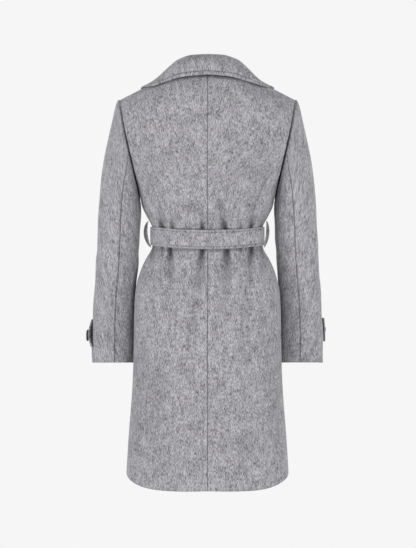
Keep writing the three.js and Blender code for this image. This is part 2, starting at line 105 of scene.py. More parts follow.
SLEEVE = table(
    "row out_x out_z in_x in_z depth lean",
    (0, 207, -61, 159, -298, 62, 0),
    (1, 212, -62, 161.2, -301, 63, 0),
    (2, 218.5, -77, 161, -304.5, 64, 0),
    (3, 225.5, -107, 160, -309, 65, 0),
    (4, 235.5, -150, 159.5, -314, 66, 0),
    (5, 246, -200, 159, -321, 66, 0),
    (6, 254.5, -262, 158.8, -330, 65, 0),
    (7, 261, -332, 159.5, -349, 63, -2),
    (8, 265.5, -400, 162, -400, 60, -7),
    (9, 268.8, -461, 166.5, -461, 57.5, -14),
    (10, 273.5, -520, 174, -520, 54.5, -23),
    (11, 278, -580, 178, -580, 51.5, -32),
    (12, 281.5, -640, 179.5, -640, 49, -41),
    (13, 283.5, -694, 180, -694, 47, -48),
)
COLLAR = table(
    "turn neck_x neck_y neck_z roll_x roll_y roll_z edge_x edge_y edge_z bow",
    (0, 0, 58.5, -3.4, 0, 68, 33, 0, 95, -18.3, 8),
    (1, 34, 53.5, -2.7, 36, 62, 32, 52, 92, -22.6, 8),
    (2, 59, 40.5, -1.3, 59, 46, 28, 91, 78, -31, 6),
    (3, 75, 21, 0.2, 74, 24, 24, 124, 65, -38, 2),
    (4, 82, 0, 1.6, 79, -2, 17, 152, 16, -33.5, -3),
    (5, 82, -30, -2.5, 85, -34, 12, 154, -38, -36.5, 0),
    (6, 81, -58, -11.5, 86, -62, -1, 149, -70, -51, 4),
    (7, 79, -84, -27, 82, -90, -22, 141, -98, -73, 6),
)
COLLAR_END = 7

# Folds drawn in by the belt. Each starts at the belt and runs up (+1) or down (-1): its place
# at the belt, halfway and at its end, its width at both ends, how deep the long trough is,
# how deep the short pinch at the belt is, and how far it reaches.
BACK_FOLDS = table(
    "up x0 x1 x2 narrow wide trough pinch reach",
    (1, 103, 113, 128, 5, 11, 5, 6, 90),
    (1, 80, 84, 90, 5, 13, 2.6, 6, 90),
    (1, 12, 17, 28, 5, 16, 3, 7, 130),
    (1, -40, -28, -22, 6, 18, 4.5, 8, 170),
    (1, -76, -74, -72, 4, 9, 1.5, 4, 45),
    (1, -99, -108, -126, 5, 13, 3.6, 6, 115),
    (1, -124, -130, -139, 5, 10, 3, 5, 60),
    (-1, 128, 134, 142, 6, 14, 3, 4, 120),
    (-1, 104, 103, 102, 4, 10, 2, 5, 60),
    (-1, 86, 84, 94, 5, 17, 5, 7, 190),
    (-1, 12, 36, 68, 6, 24, 4.5, 7, 390),
    (-1, -43, -46, -55, 7, 22, 5, 9, 270),
    (-1, -75, -75, -76, 4, 8, 1.5, 4, 40),
    (-1, -100, -92, -112, 6, 22, 4, 7, 380),
    (-1, -126, -134, -146, 6, 14, 3, 4, 120),
)
FRONT_FOLDS = table(
    "up x0 x1 x2 narrow wide trough pinch reach",
    (1, 100, 110, 124, 6, 13, 4, 5, 95),
    (1, -84, -90, -101, 6, 14, 3.4, 6, 110),
    (1, -112, -120, -134, 6, 12, 3, 5, 80),
    (1, -30, -40, -58, 6, 17, 2.6, 5, 130),
    (-1, 112, 117, 124, 6, 18, 4.5, 6, 210),
    (-1, -38, -44, -60, 6, 22, 4, 7, 290),
    (-1, -70, -72, -74, 4, 9, 1.8, 4, 60),
    (-1, -103, -108, -120, 6, 20, 4.5, 7, 250),
)
# Broad soft troughs of the skirt and the upper body, away from the belt.
BACK_TROUGHS = table(
    "x0 z0 x1 z1 wide trough",
    (-103, -800, -76, -925, 22, 2.6),
    (124, -600, 112, -930, 26, 3),
    (22, -720, 26, -955, 24, 1.8),
    (150, -560, 158, -900, 22, 2.4),
    (-150, -540, -160, -900, 24, 2.6),
    (-30, -640, -34, -940, 26, 1.6),
    (142, -150, 112, -300, 20, 1.6),
    (-150, -140, -112, -300, 20, 1.8),
    (60, -120, 46, -300, 28, 1.1),
    (-70, -110, -58, -300, 28, 1.2),
)
FRONT_TROUGHS = table(
    "x0 z0 x1 z1 wide trough",
    (-120, -560, -130, -920, 26, 3),
    (-20, -600, -28, -940, 28, 2.4),
    (125, -520, 134, -920, 24, 3),
    (150, -150, 118, -300, 20, 1.6),
    (-152, -140, -116, -300, 20, 1.8),
)


# ---------------------------------------------------------------- reading the tables
def read(rows, column, at):
    """Smooth reading of a column, between rows whose first column rises."""
    key = next(iter(rows.values()))
    value = rows[column]
    at = np.clip(np.asarray(at, float), key[0], key[-1])
    low = np.maximum(np.arange(len(key)) - 1, 0)
    high = np.minimum(np.arange(len(key)) + 1, len(key) - 1)
    slope = (value[high] - value[low]) / (key[high] - key[low])
    i = np.clip(np.searchsorted(key, at, side="right") - 1, 0, len(key) - 2)
    span = key[i + 1] - key[i]
    f = (at - key[i]) / span
    rise = 3 * f**2 - 2 * f**3
    bend = f * (1 - f) ** 2 * slope[i] + f**2 * (f - 1) * slope[i + 1]
    return value[i] * (1 - rise) + value[i + 1] * rise + bend * span


def smooth(f):
    f = np.clip(f, 0, 1)
    return f * f * (3 - 2 * f)


def mix(a, b, f):
    return a + (b - a) * f


def bell(distance, width):
    return np.exp(-((distance / width) ** 2))


# ---------------------------------------------------------------- form of the body
def ridge(x):
    """Height of the shoulder seam, and of the neck seam inside it."""
    far = np.abs(x)
    f = (far - NECK_HALF) / (TIP_X - NECK_HALF)
    inside = -NECK_DROP * (1 - (far / NECK_HALF) ** 2)
    return np.where(far < NECK_HALF, inside, TIP_Z * mix(f, f**3, SHOULDER_DROOP))


def neck_depth(x):
    f = np.minimum(1, np.abs(x) / NECK_HALF)
    return NECK_BACK * np.sqrt(1 - f * f)


def folds(rows, x, z):
    """How far the folds at the belt press the cloth in."""
    total = np.zeros_like(x)
    for i in range(len(rows["up"])):
        fold = {name: rows[name][i] for name in rows}
        edge = BELT_MIDDLE + fold["up"] * BELT_HEIGHT / 2
        away = np.maximum(0, fold["up"] * (z - edge))
        f = np.minimum(1, away / fold["reach"])
        bend = 2 * fold["x1"] - (fold["x0"] + fold["x2"]) / 2
        middle = fold["x0"] * (1 - f) ** 2 + 2 * bend * f * (1 - f) + fold["x2"] * f**2
        width = mix(fold["narrow"], fold["wide"], np.sqrt(f))
        side = x - middle
        profile = bell(side, width) - 0.3 * bell(np.abs(side) - 2.1 * width, width)
        trough = 2.1 * fold["trough"] * (1 - f) ** 0.9 * profile
        pinch = 0.9 * fold["pinch"] * bell(away, 18) * bell(side, 0.8 * fold["narrow"])
        under_belt = smooth((fold["up"] * (z - BELT_MIDDLE) + 12) / 24)
        total += (trough + pinch) * under_belt
    return total


def troughs(rows, x, z):
    total = np.zeros_like(x)
    for i in range(len(rows["x0"])):
        row = {name: rows[name][i] for name in rows}
        f = (z - row["z0"]) / (row["z1"] - row["z0"])
        ends = smooth(f / 0.35) * smooth((1.12 - f) / 0.35)
        middle = mix(row["x0"], row["x1"], f) + 5 * np.sin(3.1 * f + row["x0"])
        total += row["trough"] * ends * bell(x - middle, row["wide"])
    return total


def drape(x, z, way):
    """Slow unevenness of hanging cloth, more towards the hem."""
    low = smooth((-430 - z) / 380)
    wave = np.sin(0.041 * x + 0.9 * way + 0.0022 * z) + 0.6 * np.sin(0.071 * x - 1.7 * way)
    small = np.sin(0.033 * z + 0.021 * x + way) * np.sin(0.05 * x + 2.0 * way)
    return 1.3 * low * wave + 0.35 * small


def body(across, level, way):
    """Point of the outer face. Across runs from -1 to 1, way is 1 behind and -1 in front."""
    half = read(BODY, "half", level)
    full = np.maximum(half, read(BODY, "full", level))
    depth = read(BODY, "back" if way > 0 else "front", level)
    x = full * np.sin(across * np.arcsin(half / full))
    top = ridge(x)
    climb = (level - UNDERARM) / (TIP_Z - UNDERARM)
    drawn = smooth((HEM_LIFT_FROM - level) / (HEM_LIFT_FROM - HEM))
    out = np.sin(across * np.pi / 2) ** 2
    low = level + drawn * (HEM_LIFT * out**3 - HEM_DROOP * np.sin(np.pi * out))
    z = np.where(level <= UNDERARM, low, mix(UNDERARM, top, climb))
    ring = depth * np.maximum(0, 1 - np.abs(x / full) ** BULGE) ** (1 / BULGE)
    pressed = folds(BACK_FOLDS if way > 0 else FRONT_FOLDS, x, z)
    pressed = pressed + troughs(BACK_TROUGHS if way > 0 else FRONT_TROUGHS, x, z)
    side = smooth((1 - np.abs(across)) * 6)
    pressed = pressed - drape(x, z, way) * side
    below = np.clip((top - z) / ROLL_OVER_SHOULDER, 0, 1)
    over = np.sqrt(1 - (1 - below) ** 2)
    seam = (neck_depth(x) if way > 0 else 0) + SEAM / 2
    y = mix(seam, ring - pressed, over)
    return np.stack([x, way * y, z], -1)


def across_at(x, level):
    half = read(BODY, "half", level)
    full = np.maximum(half, read(BODY, "full", level))
    return np.arcsin(np.clip(x / full, -1, 1)) / np.arcsin(half / full)


def front_edge(level):
    """Where the upper front ends: its roll line, and below the belt its straight edge."""
    f = (TIP_Z - level) / (TIP_Z - WRAP_START)
    return mix(-NECK_HALF, WRAP_REACH, np.minimum(1, f))


def set_back(x, level):
    """How far the under front lies inside the upper one."""
    edge = front_edge(level)
    ramp = np.minimum(WRAP_RAMP, read(BODY, "half", level) - 4 - edge)
    return WRAP_DROP * smooth((edge + ramp - x) / (ramp - 6))


# ---------------------------------------------------------------- pieces of cloth
PIECES = {}
# groove depth at which a seam's painted shade is full
SEAM_SHADE_DEPTH = 1.6


def only(piece):
    bpy.ops.object.select_all(action="DESELECT")
    piece.select_set(True)
    bpy.context.view_layer.objects.active = piece


def finish_modifier(piece, kind, **settings):
    only(piece)
    modifier = piece.modifiers.new(kind.title(), kind)
    for name, value in settings.items():
        setattr(modifier, name, value)
    bpy.ops.object.modifier_apply(modifier=modifier.name)


def crowd_edges(f, share):
    """Evenly spaced numbers from 0 to 1, moved closer together at both ends."""
    return f - share * np.sin(2 * np.pi * f) / (2 * np.pi)


def thread_of_cloth(piece, across, along):
    """Gives each point its place on the flat cloth, in metres, apart from other pieces."""
    shift = 1.7 * len(PIECES)
    corners = np.empty(len(piece.data.loops), int)
    piece.data.loops.foreach_get("vertex_index", corners)
    flat = np.stack([across * MM + shift, along * MM + 0.61 * shift], -1)
    layer = piece.data.uv_layers[0] if piece.data.uv_layers else piece.data.uv_layers.new()
    layer.name = "cloth"
    layer.data.foreach_set("uv", flat[corners].ravel())


def lay(place, s, t):
    """Points and normals of a form at the given stations."""
    step = 1e-3
    points = place(s, t)
    s_low, s_high = np.maximum(0, s - step), np.minimum(1, s + step)
    t_low, t_high = np.maximum(0, t - step), np.minimum(1, t + step)
    normal = np.cross(place(s_high, t) - place(s_low, t), place(s, t_high) - place(s, t_low))
    normal /= np.maximum(1e-9, np.linalg.norm(normal, axis=1))[:, None]
    return points, normal


def run(points, axis):
    """Length of cloth along a grid of points, from its first row or column."""
    steps = np.linalg.norm(np.diff(points, axis=axis), axis=2)
    start = np.zeros_like(np.take(steps, [0], axis=axis))
    return np.cumsum(np.concatenate([start, steps], axis=axis), axis=axis)


def cloth(name, place, columns, rows, inside, relief=None, wall=CLOTH, crowd=0.8, ring=False,
          rows_crowd=0.0, edge=0.0, shade=None):
    """A flat grid of cloth laid on its form, given its wall and rounded at its edges.

    place gives points for stations s and t from 0 to 1. relief gives how far the cloth is
    raised softly and by its sewing, from the distances to its four edges and its points. The
    painted-shade attribute rises from 0 to 1 as painted shade in the grooves where it is sewn down,
    and where shade says so.
    """
    bpy.ops.object.select_all(action="DESELECT")
    bpy.ops.mesh.primitive_grid_add(x_subdivisions=columns, y_subdivisions=rows, size=1)
    piece = bpy.context.object
    piece.name = name
    piece.data.name = name
    flat = np.empty(len(piece.data.vertices) * 3)
    piece.data.vertices.foreach_get("co", flat)
    flat = flat.reshape(-1, 3)
    s = crowd_edges(flat[:, 0] + 0.5, 0 if ring else crowd)
    t = crowd_edges(flat[:, 1] + 0.5, rows_crowd)
    s = np.clip(s, 0, 1)
    t = np.clip(t, 0, 1)
    points, normal = lay(place, s, t)
    column = np.rint((flat[:, 0] + 0.5) * columns).astype(int)
    row = np.rint((flat[:, 1] + 0.5) * rows).astype(int)
    grid = np.empty((rows + 1, columns + 1, 3))
    grid[row, column] = points
    across, along = run(grid, 1), run(grid, 0)
    left, right = across[row, column], (across[:, -1:] - across)[row, column]
    bottom, top = along[row, column], (along[-1:] - along)[row, column]
    middle = np.argmin((s - 0.5) ** 2 + (t - 0.5) ** 2)
    way = np.sign(np.dot(normal[middle], points[middle] - np.array(inside, float)))
    normal = normal * way
    crease = np.zeros(len(s))
    if shade is not None:
        crease = shade(points)
    if relief is not None:
        soft, sewn = relief(left, right, bottom, top, points)
        points = points + normal * (soft + sewn)[:, None]
        # seam grooves get painted shade, growing with the depth of the groove
        crease = np.maximum(crease, np.clip(-sewn / SEAM_SHADE_DEPTH, 0, 1))
    piece.data.vertices.foreach_set("co", (points * MM).ravel())
    # the painted shade is stored on the points for the wool finish
    shade_layer = piece.data.attributes.new("crease", "FLOAT", "POINT")
    shade_layer.data.foreach_set("value", crease.astype(np.float32))
    thread_of_cloth(piece, (left - right) / 2, bottom)
    if way < 0:
        piece.data.flip_normals()
    piece.data.update()
    if ring:
        only(piece)
        bpy.ops.object.mode_set(mode="EDIT")
        bpy.ops.mesh.select_all(action="SELECT")
        bpy.ops.mesh.remove_doubles(threshold=1e-5)
        bpy.ops.object.mode_set(mode="OBJECT")
    finish_modifier(piece, "SOLIDIFY", thickness=wall * MM, offset=-1, use_even_offset=False)
    if edge:
        finish_modifier(
            piece, "BEVEL", width=edge * MM, segments=2, limit_method="ANGLE",
            angle_limit=math.radians(50), harden_normals=False,
        )
    only(piece)
    bpy.ops.object.shade_smooth_by_angle(angle=math.radians(50))
    return piece


def keep(piece, finish, *nodes):
    """The piece rides on the coat, takes its finish and stands for its CAD nodes."""
    piece.data.materials.clear()
    piece.data.materials.append(finish)
    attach(piece, "root")
    if nodes:
        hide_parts(*nodes)
    PIECES[nodes[0] if nodes else piece.name] = piece
    return piece


# ---------------------------------------------------------------- finishes
class Link:
    """An output of a node that can be used in sums."""

    def __init__(self, finish, socket):
        self.finish = finish
        self.socket = socket

    def sum(self, operation, first, second):
        return self.finish.node("Math", {"operation": operation}, {0: first, 1: second})

    def __add__(self, other):
        return self.sum("ADD", self, other)

    def __radd__(self, other):
        return self.sum("ADD", other, self)

    def __sub__(self, other):
        return self.sum("SUBTRACT", self, other)

    def __rsub__(self, other):
        return self.sum("SUBTRACT", other, self)

    def __mul__(self, other):
        return self.sum("MULTIPLY", self, other)

    def __rmul__(self, other):
        return self.sum("MULTIPLY", other, self)

    def __truediv__(self, other):
        return self.sum("DIVIDE", self, other)

    def __pow__(self, other):
        return self.sum("POWER", self, other)


class Finish:
    """A material whose nodes are added one call at a time."""

    def __init__(self, name):
        self.material = bpy.data.materials.new(name)
        self.material.use_nodes = True
        self.tree = self.material.node_tree
        self.shader = self.tree.nodes["Principled BSDF"]

    def node(self, kind, settings=None, inputs=None, output=0):
        made = self.tree.nodes.new("ShaderNode" + kind)
        for name, value in (settings or {}).items():
            setattr(made, name, value)
        self.connect(made, inputs or {})
        return Link(self, made.outputs[output])

    def connect(self, made, inputs):
        for name, value in inputs.items():
            if isinstance(value, Link):
                self.tree.links.new(value.socket, made.inputs[name])
            else:
                made.inputs[name].default_value = value

    def noise(self, where, scale, detail=2.0, roughness=0.5):
        inputs = {"Vector": where, "Scale": scale, "Detail": detail, "Roughness": roughness}
        return self.node("TexNoise", {}, inputs, "Fac")

    def blend(self, amount, first, second):
        settings = {"data_type": "RGBA", "clamp_factor": True}
        return self.node("Mix", settings, {0: amount, 6: first, 7: second}, 2)


def wool(name, dark, light, grain=1.0):
    """Napped melange wool: pale and dark fibres blended, drawn a little along the cloth."""
    finish = Finish(name)
    place = finish.node("UVMap", {"uv_map": "cloth"}, output="UV")
    drawn = finish.node("Mapping", {}, {"Vector": place, "Scale": (1, 0.3, 1)})
    fleck = finish.noise(drawn, 480, 1.0, 0.5)
    speck = finish.noise(drawn, 900, 1.0, 0.5)
    slub = finish.noise(drawn, 130, 1.0, 0.5)
    fibre = finish.noise(finish.node("Mapping", {}, {"Vector": place, "Scale": (1, 0.16, 1)}), 1500)
    cloud = finish.noise(place, 30, 2.0, 0.5)
    tone = (fleck - 0.5) * (2.8 * grain) + (speck - 0.5) * (1.4 * grain)
    tone = tone + (fibre - 0.5) * (1.8 * grain) + (slub - 0.5) * 0.8 + (cloud - 0.5) * 0.5
    # Painted shade: this attribute darkens the colour in seam grooves, belt folds, along the belt's
    # edges and under the collar.
    crease = finish.node("Attribute", {"attribute_name": "crease"}, output="Fac")
    colour = finish.blend(tone + 0.5, dark, light)
    shaded = finish.blend(crease * 0.62, colour, tuple(0.25 * c for c in dark[:3]) + (1,))
    nap = fleck * 0.7 + speck * 0.5 + fibre * 0.3
    bump = finish.node("Bump", {}, {"Strength": 0.06, "Distance": 0.0008, "Height": nap})
    finish.connect(finish.shader, {
        "Base Color": shaded,
        "Normal": bump,
        "Roughness": 0.94,
        "Sheen Weight": 0.15,
        "Sheen Roughness": 0.45,
        "Specular IOR Level": 0.2,
    })
    return finish.material


def horn():
    finish = Finish("horn")
    where = finish.node("TexCoord", output="Object")
    cloud = finish.noise(where, 160, 4.0, 0.6)
    colour = finish.blend((cloud - 0.4) * 2.2, (0.012, 0.012, 0.014, 1), (0.05, 0.05, 0.056, 1))
    finish.connect(finish.shader, {
        "Base Color": colour,
        "Roughness": cloud * 0.25 + 0.28,
        "Coat Weight": 0.2,
    })
    return finish.material


def thread():
    finish = Finish("thread")
    where = finish.node("TexCoord", output="Object")
    twist = finish.noise(where, 900, 1.0, 0.5)
    colour = finish.blend(twist, (0.16, 0.158, 0.172, 1), (0.27, 0.266, 0.284, 1))
    finish.connect(finish.shader, {
        "Base Color": colour, "Roughness": 0.75, "Specular IOR Level": 0.3,
    })
    return finish.material


WOOL = wool("wool", (0.092, 0.089, 0.099, 1), (0.480, 0.470, 0.494, 1), 0.6)
THREAD = thread()
HORN = horn()

# ---------------------------------------------------------------- body panels
SIDES = (("left", 1), ("right", -1))
INSIDE = (0, 0, -400)
LEVELS = table(
    "t level",
    (0, HEM),
    (0.13, -880),
    (0.30, -560),
    (0.46, -452),
    (0.60, -370),
    (0.70, -320),
    (0.90, -110),
    (1, TIP_Z),
)


def level_at(t):
    return np.interp(t, LEVELS["t"], LEVELS["level"])


def groove(distance, depth, width):
    """Dip where two pieces are sewn together."""
    return -depth * bell(distance, width)


PRINCESS_FADE = (-520, -330)       # the princess seam is pressed flat below these levels
SHOULDER_PRESSED = -64             # and the armhole seam above this one


def princess_dip(distance, z):
    low, high = PRINCESS_FADE
    shown = smooth((z - low) / (high - low))
    return groove(distance, 0.15 + 0.85 * shown, 1.4)


def back_relief(way):
    """The centre seam's left side stands a little proud, and bends in at the vent."""
    def relief(left, right, bottom, top, points):
        z = points[:, 2]
        proud = 0.7 * bell(left - 3.2, 3.0) if way > 0 else -0.5 * bell(left - 3, 4)
        seam = groove(left, 1.2, 1.0)
        armhole = np.where(z > PRINCESS_TOP, smooth((SHOULDER_PRESSED - z) / 40), 0.0)
        flat = np.where(z > PRINCESS_TOP, 0.0, 1.0)
        side = armhole * groove(right, 1.9, 2.0) + flat * princess_dip(right, z)
        hem = groove(bottom, 0.7, 1.6) + groove(bottom - 34, 0.35, 2)
        bend = 4 + 20 * (1 - bottom / 70)
        vent = 0.9 * bell(left - bend, 4) * smooth((70 - bottom) / 30) * (way < 0)
        return proud + vent, seam + side + hem

    return relief


def side_relief(left, right, bottom, top, points):
    z = points[:, 2]
    armhole = smooth((z - UNDERARM) / 20)
    side = groove(right, 1.0 + 1.2 * armhole, 2.0)
    hem = groove(bottom, 0.7, 1.6) + groove(bottom - 34, 0.35, 2)
    return 0 * z, princess_dip(left, z) + side + hem


def painted_shadows(rows, broad):
    """Painted shade: creases are darkened where the belt pinches the cloth, with painted shadow
    along the belt's edges and under the collar's edge.
    """
    def shade(points):
        x, z = np.abs(points[:, 0]), points[:, 2]
        pressed = folds(rows, points[:, 0], z)
        away = np.abs(z - BELT_MIDDLE) - BELT_HEIGHT / 2
        near = bell(away, 45)
        # painted shade in the folds, stronger near the belt
        pinch = np.clip((pressed - 1) / 9, 0, 1) * (0.42 + 0.5 * near)
        # painted shadow line along the belt's top and bottom edges
        pinch = np.maximum(pinch, 0.95 * bell(away - 1, 3))
        # faint painted shade in the broad troughs
        pinch = np.maximum(pinch, 0.07 * troughs(broad, points[:, 0], z))
        # painted shade in the gap under the collar's fall edge, fading towards the shoulders
        collar = np.interp(x, COLLAR["edge_x"][:5], COLLAR["edge_z"][:5])
        under = smooth((z - collar + 9) / 10) * smooth((158 - x) / 40)
        return np.maximum(pinch, 0.9 * under)

    return shade


for name, way in SIDES:
    def centre(s, t, way=way):
        level = level_at(t)
        x = read(PRINCESS, "x", level)
        end = np.where(level >= PRINCESS_TOP, 1, across_at(x, level))
        return body(way * end * s, level, 1)

    def side(s, t, way=way):
        level = mix(HEM, PRINCESS_TOP, t)
        start = across_at(read(PRINCESS, "x", level), level)
        return body(way * mix(start, 1, s), level, 1)

    # painted shade for the back panels: belt folds, belt edges and the gap under the collar
    shade = painted_shadows(BACK_FOLDS, BACK_TROUGHS)
    panel = cloth(
        f"back_{name}", centre, 64, 240, INSIDE, back_relief(way), rows_crowd=0.6, shade=shade,
    )
    keep(panel, WOOL, f"back_{name}")
    panel = cloth(
        f"side_back_{name}", side, 32, 200, INSIDE, side_relief, rows_crowd=0.6, shade=shade,
    )
    keep(panel, WOOL, f"side_back_{name}")


# ---------------------------------------------------------------- fronts and lapels
def front_panel(way):
    def place(s, t):
        level = level_at(t)
        edge = across_at(-way * front_edge(level), level)
        points = body(mix(edge, way, s), level, -1)
        if way > 0:
            points[:, 1] += set_back(points[:, 0], level)
        return points

    return place


def front_relief(left, right, bottom, top, points):
    edge = groove(left, 0.9, 1.6) + groove(left - 9, 0.9, 1.1)
    hem = groove(bottom, 0.7, 1.6) + groove(bottom - 34, 0.35, 2)
    return 0 * left, edge + groove(right, 1.6, 2.0) + hem


def on_front(way, x, level, lift):
    """Points on the upper (-1) or under (+1) front, moved out from its face."""
    def face(px, py):
        points = body(across_at(px, py), py, -1)
        if way > 0:
            points[:, 1] += set_back(px, py)
        return points

    step = 0.5
    a, b, c = face(x - step, level), face(x + step, level), face(x, level - step)
    d = face(x, level)
    normal = np.cross(b - a, d - c)
    normal /= np.linalg.norm(normal, axis=1)[:, None]
    normal *= np.where(normal[:, 1] > 0, -1, 1)[:, None]
    return d + normal * np.broadcast_to(lift, x.shape)[:, None]


LAPEL_TOP, LAPEL_BOTTOM, LAPEL_RISE = -112, -352, 24
LAPEL_WIDE, LAPEL_NARROW = 92, 14


def lapel(way):
    def place(s, t):
        level = mix(LAPEL_BOTTOM, LAPEL_TOP, t)
        width = mix(LAPEL_NARROW, LAPEL_WIDE, t)
        start = -way * (front_edge(level) - 2)
        lift = mix(5.8 if way > 0 else 3.4, 7.6, t) + 2.2 * np.sin(np.pi * s) * t
        return on_front(way, start + way * width * s, level + LAPEL_RISE * s * t, lift)

    return place


def lapel_relief(left, right, bottom, top, points):
    stitched = groove(right - 9, 1.0, 1.2) + groove(top - 9, 1.0, 1.2)
    return 0 * left, stitched + groove(right, 0.9, 1.6) + groove(top, 0.9, 1.6)


for name, way in (("under", 1), ("over", -1)):
    panel = cloth(
        f"front_{name}", front_panel(way), 84, 200, INSIDE, front_relief, rows_crowd=0.6,
        shade=painted_shadows(FRONT_FOLDS, FRONT_TROUGHS),
    )
    keep(panel, WOOL, f"front_{name}")
    panel = cloth(
        f"lapel_{name}", lapel(way), 40, 80, INSIDE, lapel_relief, rows_crowd=0.5, edge=0.7,
    )
    keep(panel, WOOL, f"lapel_{name}")


# ---------------------------------------------------------------- collar
FALL_OFF, FALL_UP, FALL_CROWN = 4, 1, 0.8
FALL_STITCH = 9


def collar_line(line, turn):
    far = np.abs(turn)
    x = np.sign(turn) * read(COLLAR, line + "_x", far)
    return np.stack([x, read(COLLAR, line + "_y", far), read(COLLAR, line + "_z", far)], -1)


def collar_turn(s):
    return mix(-COLLAR_END, COLLAR_END, s)


def stand(s, t):
    turn = collar_turn(s)
    return mix(collar_line("neck", turn), collar_line("roll", turn), 0.96 * t[:, None])


def fall(s, t):
    turn = collar_turn(s)
    roll = collar_line("roll", turn)
    points = mix(roll, collar_line("edge", turn), t[:, None])
    out = roll * np.array([1, 1, 0])
    out /= np.linalg.norm(out, axis=1)[:, None]
    arch = read(COLLAR, "bow", np.abs(turn)) * np.sin(np.pi * t)
    points = points + out * (FALL_OFF + arch)[:, None]
    points[:, 2] += FALL_UP + FALL_CROWN * arch
    return points


def fall_relief(left, right, bottom, top, points):
    rim = np.minimum(np.minimum(left, right), top)
    ripple = 0.5 * np.sin(points[:, 0] * 0.06) * np.sin(points[:, 1] * 0.05)
    return ripple + 0.5 * bell(rim - 5, 2.6), groove(rim - FALL_STITCH, 1.3, 1.2)


piece = cloth("collar_stand", stand, 110, 10, (0, 0, 20), crowd=0)
keep(piece, WOOL, "collar_stand")
piece = cloth(
    "collar_fall", fall, 240, 64, (0, 0, -60), fall_relief, crowd=0, rows_crowd=0.5, edge=0.8,
)
keep(piece, WOOL, "collar_fall")


# ---------------------------------------------------------------- sleeves
def sleeve_ring(turn, row):
    """Turn is 0 along the outer line, 90 behind and 180 along the inside of the arm."""
    down = (1 - np.cos(np.radians(turn))) / 2
    x = mix(read(SLEEVE, "out_x", row), read(SLEEVE, "in_x", row), down)
    z = mix(read(SLEEVE, "out_z", row), read(SLEEVE, "in_z", row), down)
    behind = np.sin(np.radians(turn))
    y = read(SLEEVE, "lean", row) + read(SLEEVE, "depth", row) * behind
    z = z + CUFF_RISE * np.maximum(0, behind) * smooth(row - SLEEVE["row"][-1] + 1)
    return np.stack([x, y, z], -1)


def sleeve(turn, row):
    points = sleeve_ring(turn, row)
    down = (1 - np.cos(np.radians(turn))) / 2
    level = mix(TIP_Z, UNDERARM, down)
    behind = np.sin(np.radians(turn)) >= 0
    one = np.ones_like(level)
    armhole = np.where(behind[:, None], body(one, level, 1), body(one, level, -1))
    armhole = armhole + np.stack([SEAM + 0.1 + 0.5 * down, 0 * down, 0 * down], -1)
    share = np.maximum(0, 1 - row / 3)
    return points + (armhole - sleeve_ring(turn, 0 * row)) * share[:, None]


def sleeve_relief(way):
    def relief(left, right, bottom, top, points):
        z, y = points[:, 2], points[:, 1]
        creases = 0.7 * np.sin(0.055 * z + 0.03 * y + way) * smooth((-250 - z) / 120)
        slack = 0.8 * np.sin(0.021 * z - 0.05 * y) * smooth((-180 - z) / 100)
        elbow = -2.2 * bell(z + 420 - 0.35 * y * way, 16) * bell(y + 30, 40)
        seams = groove(left, 1.5, 1.4) + groove(right, 1.5, 1.4)
        hem = groove(top, 0.7, 1.4) + groove(top - 44, 0.3, 2)
        below_tip = smooth((SHOULDER_PRESSED - z) / 40)
        cap = 1.2 * bell(bottom - 9, 7) * smooth((z + 230) / 100) * below_tip
        head = groove(bottom, 1.6, 2.2) * below_tip
        return creases + slack + elbow + cap, seams + hem + head

    return relief


for name, way in SIDES:
    for part, start, end, columns in (
        ("upper", FRONT_SEAM, BACK_SEAM, 90),
        ("under", BACK_SEAM, FRONT_SEAM + 360, 60),
    ):
        def place(s, t, way=way, start=start, end=end):
            row = t * SLEEVE["row"][-1]
            points = sleeve(mix(start, end, s), row)
            points[:, 0] *= way
            return points

        middle = (way * 214, 0, -400)
        panel = cloth(
            f"sleeve_{part}_{name}", place, columns, 190, middle, sleeve_relief(way),
            rows_crowd=0.5,
        )
        keep(panel, WOOL, f"sleeve_{part}_{name}")


# ---------------------------------------------------------------- cuffs
TAB_FROM, TAB_LIFT, TAB_FREE_FROM, TAB_FREE_TO = -118, 3.2, -30, 20
CUFFS = table(
    "way top bottom end_top end_bottom bulge flare stand_off button button_z seat",
    (1, -586, -653, 12, 30, 7, 0, 1, 2, -625, 0.7),
    (-1, -583, -641, 6, -4, 0, 5, 4, -24, -612, 2),
)


def row_at(z):
    return np.interp(-z, -SLEEVE["out_z"], SLEEVE["row"])


def around_cuff(turn, z, lift, way):
    points = sleeve(turn, row_at(z))
    out = np.stack([np.cos(np.radians(turn)), np.sin(np.radians(turn)), 0 * turn], -1)
    points = points + out * lift[:, None]
    points[:, 0] *= way
    return points


def tab_lift(cuff, turn, t):
    """A tab is sewn in at the front and free behind, where it bulges or flares."""
    free = smooth((turn - TAB_FREE_FROM) / (TAB_FREE_TO - TAB_FREE_FROM))
    off = cuff["stand_off"] + cuff["bulge"] * np.sin(np.pi * t) + cuff["flare"] * (1 - t)
    return TAB_LIFT + off * free


def tab_relief(left, right, bottom, top, points):
    rim = np.minimum(np.minimum(right, bottom), top)
    return 0 * rim, groove(rim - 6, 1.0, 1.1) + groove(rim, 0.8, 1.5)


BUTTON_THICK = 5
BUTTON_FACETS, BUTTON_SHARP_ANGLE = 72, 40
WELD = 1e-6                         # metres: closer points than this are one
BUTTON_PROFILE = (
    (0, -2.5), (11.5, -2.5), (13.3, -1.9), (14, -0.6), (14, 0.9), (13.2, 2.1), (12, 2.5),
    (10.6, 2.3), (9.6, 1.5), (8.4, 1.1), (0, 1.1),
)


